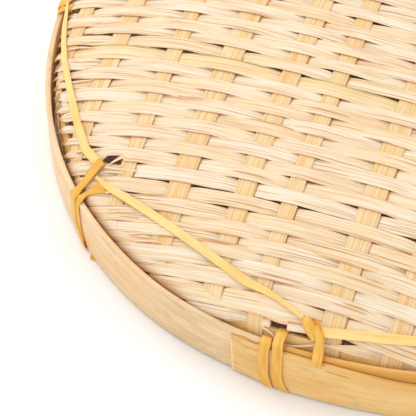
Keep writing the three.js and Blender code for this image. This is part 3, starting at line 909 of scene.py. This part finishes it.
def band_turn():
    """A turn that goes round the band alone and down between it and the mat."""
    over = [
        (186.7, -1.5, 20.0, -92, 1.0),
        (186.6, -1.5, 26.2, -80, 1.0),
        (187.3, -1.5, 28.3, -20, 1.0),
        (189.4, -1.4, 29.0, 22, 1.0),
        (191.6, -1.2, 28.9, 42, 1.0),
    ]
    return over + lapped_band(-1.5, 0.6) + up_the_hoop(-0.6, -0.8)[:4]


def hoop_turn():
    """A turn that comes up beside the mat's last weft and over hoop and band."""
    over = [
        (179.2, 0.1, 22.0, -90, 1.0),
        (179.5, 0.1, 27.2, -80, 1.0),
        (180.6, 0.2, 29.2, -20, 1.0),
        (183.6, 0.3, 30.2, 12, 1.0),
        (187.4, 0.3, 29.8, 20, 1.0),
        (190.2, 0.4, 29.2, 25, 1.0),
        (192.0, 0.6, 28.7, 42, 1.0),
    ]
    return over + lapped_band(0.5, 1.0) + up_the_hoop(1.6, 0.3)[:4]


def hitch_leg():
    """The leg of the hitch that comes down over the rim and is cut off on the lap."""
    return [
        (179.9, 4.9, 37.6, 50, 0.3),
        (181.2, 5.3, 37.2, 42, 0.45),
        (183.4, 5.8, 35.8, 42, 0.65),
        (185.6, 6.1, 33.6, 50, 0.8),
        (187.2, 6.1, 31.0, 46, 0.9),
        (189.4, 6.2, 29.2, 26, 0.95),
        (191.8, 6.3, 28.6, 40, 0.95),
        (193.4, 6.3, 27.4, 80, 0.95),
        (193.6, 6.2, 25.0, 90, 0.95),
    ]


def hitch_loop():
    """The bight of the hitch, bent back over itself in front of the chord's end."""
    return [
        (183.0, 5.7, 34.6, 205, 0.5),
        (181.2, 5.5, 35.9, 206, 0.55),
        (179.4, 5.0, 37.1, 215, 0.6),
        (178.2, 4.3, 38.0, 250, 0.8),
        (177.9, 3.7, 38.8, 330, 1.0),
        (179.2, 3.7, 38.7, 385, 1.0),
        (181.4, 4.1, 37.2, 392, 1.0),
        (183.6, 4.7, 35.3, 400, 0.75),
        (185.2, 5.4, 33.6, 404, 0.5),
    ]


def lash_strands(angle):
    """The strands of the lashing at an angle. The third one ends in a hitch that lies open to view."""
    if angle == hitch_station:
        stops = [band_turn(), hoop_turn(), hitch_leg(), hitch_loop()]
    else:
        stops = [first_turn(angle), second_turn(angle), loose_end(angle)]
    return [strand(each, angle) for each in stops]


for i, angle in enumerate(station_angles):
    name = "lash_%02d" % (i + 1)
    strands = lash_strands(angle)
    piece = wind("tie_" + name, strands, lash_width, lash_thickness, i + 1.0, 1.2 * mm, lash_finish)
    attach(piece, "root")
    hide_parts(name)


# Chords
# The lashing strip's straight runs over the mat from one station to the next, paler where the skin has
# dried. Each starts narrow, twisted out of its lashing, and ends under the next one's first turn.
chord_width = 4.6 * mm
chord_thickness = 0.7 * mm
chord_level = 1.9 * mm

chord_finish = skin_finish(
    "chord bamboo",
    fibre_length=50,
    cloud_length=25,
    pale=dye(250, 217, 142),
    deep=dye(245, 200, 112),
    fibre_dye=dye(224, 166, 72),
    fibre_share=0.5,
    dullness=0.36,
    relief=0.12 * mm,
)


def mat_place(out, angle, level):
    """A place over the dome of the mat, and the way the mat faces there."""
    face = leaning(angle, dome_slope_at(out))
    return rim_place(out, angle, dome_height_at(out)) + face * level, face


def chord_strand(stops):
    """A strand over the mat through (out, angle, breadth) stops, in straight steps seen from above."""
    def flat(out, angle):
        return Vector((out * math.cos(math.radians(angle)), out * math.sin(math.radians(angle))))

    points = []
    for (out, angle, breadth), (next_out, next_angle, next_breadth) in zip(stops, stops[1:]):
        here, there = flat(out, angle), flat(next_out, next_angle)
        steps = max(1, round((there - here).length / 7))
        for step in range(steps):
            share = step / steps
            points.append((here.lerp(there, share), breadth + (next_breadth - breadth) * share))
    points.append((flat(*stops[-1][:2]), stops[-1][2]))
    run = []
    for spot, breadth in points:
        place, face = mat_place(spot.length * mm, math.atan2(spot.y, spot.x), chord_level)
        run.append((place, face, breadth))
    return run


def chord_stops(start, end):
    """A chord's usual stops: a narrow, twisted start and an end that goes under the next lashing."""
    return [
        (178.0, start, 0.4),
        (177.4, start + 0.9, 0.4),
        (176.8, start + 1.9, 0.55),
        (176.2, start + 3.6, 1.0),
        (174.6, start + 6.2, 1.0),
        (176.0, end - 6.0, 1.0),
        (174.7, end - 2.9, 1.0),
        (173.9, end - 1.9, 1.0),
    ]


next_angles = station_angles[1:] + station_angles[:1]
chord_runs = [chord_stops(start, end) for start, end in zip(station_angles, next_angles)]

# The first three lie as they were tied: the first starts low, and the next two run into and out of the hitch
chord_runs[0] = [
    (184.8, 169.2, 0.35),
    (183.6, 171.0, 0.4),
    (182.8, 172.7, 0.5),
    (182.0, 175.1, 0.6),
    (180.6, 178.8, 0.65),
    (179.0, 182.8, 0.7),
    (177.1, 188.3, 0.75),
    (176.4, 195.8, 0.85),
    (176.6, 201.8, 0.95),
    (174.9, 204.5, 1.0),
    (173.9, 205.6, 1.0),
]
chord_runs[1][3:5] = [(175.4, 211.0, 0.75), (173.1, 213.6, 0.85)]
chord_runs[1][5:] = [
    (170.2, 239.5, 0.9),
    (171.4, 244.7, 0.6),
    (173.3, 247.2, 0.5),
    (176.4, 250.2, 0.4),
]
chord_runs[2][:5] = [
    (180.2, 253.3, 1.05),
    (178.8, 256.9, 1.05),
    (177.6, 262.0, 1.05),
    (177.6, 270.5, 1.0),
]

for i, stops in enumerate(chord_runs):
    name = "chord_%02d" % (i + 1)
    strands = [chord_strand(stops)]
    piece = wind("run_" + name, strands, chord_width, chord_thickness, i + 1.0, 2 * mm, chord_finish)
    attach(piece, "root")
    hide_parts(name)


# Splinters
# Where a weft has cracked or torn, its fibres stand off the mat: a broken-out weft beside the third
# lashing, a torn one beside the second, and split ends along the left of the rim.
def mat_spot(u, v, level):
    """A place of a strip on the mat by its distances along and square to the wefts, and its level."""
    reach = math.hypot(u, v)
    angle = math.atan2(v, u) + weave_angle
    if reach < bend_start:
        turned = dome_slope_at(reach)
        out = reach + level * math.sin(turned)
        up = dome_height_at(reach) + level * math.cos(turned)
    else:
        turned = min(bend_slope + (reach - bend_start) / bend_radius, math.pi / 2)
        out = bend_centre_out + (bend_radius + level) * math.sin(turned)
        up = bend_centre_up + (bend_radius + level) * math.cos(turned) - max(reach - bend_end, 0)
    return rim_place(out, angle, up), leaning(angle, turned)


def splinter(stops):
    """A strand through (along, across, level, breadth) stops on the mat, in millimetres."""
    return [(*mat_spot(u * mm, v * mm, level * mm), breadth) for u, v, level, breadth in stops]


# What is left of the broken-out weft on both sides of its gap, then the fibres of the torn one
broken = (
    [(-26, -182.2, -1.2, 4.4), (-21, -182.2, -0.7, 4.4), (-16.8, -182.0, 0.0, 4.4)],
    [(-8.4, -181.4, 0.4, 4.2), (-3, -180.9, 0.4, 4.2), (4, -180.2, 0.1, 4.0), (10, -179.8, -0.8, 3.8)],
)
torn_fibres = (
    [(-119.5, -122.7, 0.9, 0.3), (-116.5, -120.2, 1, 1.4), (-113, -117.8, 0.8, 2.2), (-107, -116.8, 0.1, 2)],
    [(-123.4, -123.4, 1.5, 0.3), (-119, -124.0, 1.2, 1.2), (-112, -124.3, 0.6, 1.6), (-104, -124.2, 0, 1.2)],
    [(-122.0, -126.6, 1.3, 0.3), (-117, -126.0, 1.1, 1.0), (-110, -125.8, 0.5, 1.5)],
    [(-119.0, -129.4, 1.2, 0.2), (-114, -128.4, 1.1, 0.8), (-106, -128.0, 0.6, 1.2)],
)
splinters = [splinter(stops) for stops in broken + torn_fibres]

# Split ends on every row or so along the left, each a little different
split_ends = 18
for k in range(split_ends):
    v = -38 - 7.1 * k + 2.5 * math.sin(k * 2.3)
    end = -math.sqrt((184 + 2 * math.sin(k * 1.7)) ** 2 - v * v)
    lift = 0.9 + 0.4 * math.sin(k * 3.1)
    splinters.append(splinter([
        (end, v - 0.6 * math.sin(k * 1.9), -1.0, 0.5),
        (end + 4, v - 0.3, lift, 1.1),
        (end + 11, v, lift + 0.4, 1.3),
        (end + 20 + 4 * math.sin(k), v + 1.2 * math.sin(k * 1.3), lift - 0.1, 0.3),
    ]))
fibre_width = 1 * mm
fibre_thickness = 0.3 * mm
piece = wind("split_fibres", splinters, fibre_width, fibre_thickness, 4.0, 0.8 * mm, weft_finish)
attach(piece, "root")


# Table, light and camera
# A plain white table under a wide, soft light from above and behind the left, and the photograph's view:
# a long lens that looks down on the near left part of the rim.
floor_mesh = bpy.data.meshes.new("floor")
floor_edges = (-3.0, 3.0)
corners = [(x, y, 0) for x in floor_edges for y in floor_edges]
floor_mesh.from_pydata(corners, [], [(0, 2, 3, 1)])
floor = new_object("floor", floor_mesh)
floor_finish, bench = new_finish("white table")
floor_white = (0.96, 0.96, 0.96, 1)
shader = bench.node("ShaderNodeBsdfPrincipled", {}, {"Base Color": floor_white, "Roughness": 0.9})
bench.node("ShaderNodeOutputMaterial", {}, {"Surface": shader}, out=())
floor_mesh.materials.append(floor_finish)

world = bpy.data.worlds.new("studio")
bpy.context.scene.world = world
world.use_nodes = True
world.node_tree.nodes.clear()
bench = Bench(world.node_tree)
sky = bench.node("ShaderNodeBackground", {}, {"Color": (1, 1, 1, 1), "Strength": 1.0})
bench.node("ShaderNodeOutputWorld", {}, {"Surface": sky}, out=())

lamp_data = bpy.data.lights.new("soft light", "AREA")
lamp_data.shape = "DISK"
lamp_data.size = 1.6
lamp_data.energy = 17
lamp = new_object("soft light", lamp_data)
lamp.location = (-1.1, 1.0, 2.2)
lamp.rotation_euler = (-lamp.location).to_track_quat("-Z", "Y").to_euler()

view_elevation = math.radians(47.22)
view_distance = 8.386 * rim_radius
view_pan = math.radians(-4.027)
view_tilt = math.radians(-1.873)
view_roll = math.radians(0.749)
focal_share = 3265.5 / 416


def swung(first, second, angle):
    """Two square directions, both swung by an angle from the first towards the second."""
    cosine, sine = math.cos(angle), math.sin(angle)
    return first * cosine + second * sine, second * cosine - first * sine


ahead = Vector((0, math.cos(view_elevation), -math.sin(view_elevation)))
right = Vector((1, 0, 0))
upward = right.cross(ahead)
ahead, right = swung(ahead, right, view_pan)
ahead, upward = swung(ahead, upward, view_tilt)
right, upward = swung(right, upward, view_roll)
camera_data = bpy.data.cameras.new("camera")
camera_data.sensor_width = 36
camera_data.lens = camera_data.sensor_width * focal_share
camera = new_object("camera", camera_data)
standpoint = rim_middle + Vector((0, -math.cos(view_elevation), math.sin(view_elevation))) * view_distance
camera.matrix_world = Matrix.Translation(standpoint) @ Matrix((right, upward, -ahead)).transposed().to_4x4()
bpy.context.scene.camera = camera
bpy.context.scene.view_settings.view_transform = "Standard"
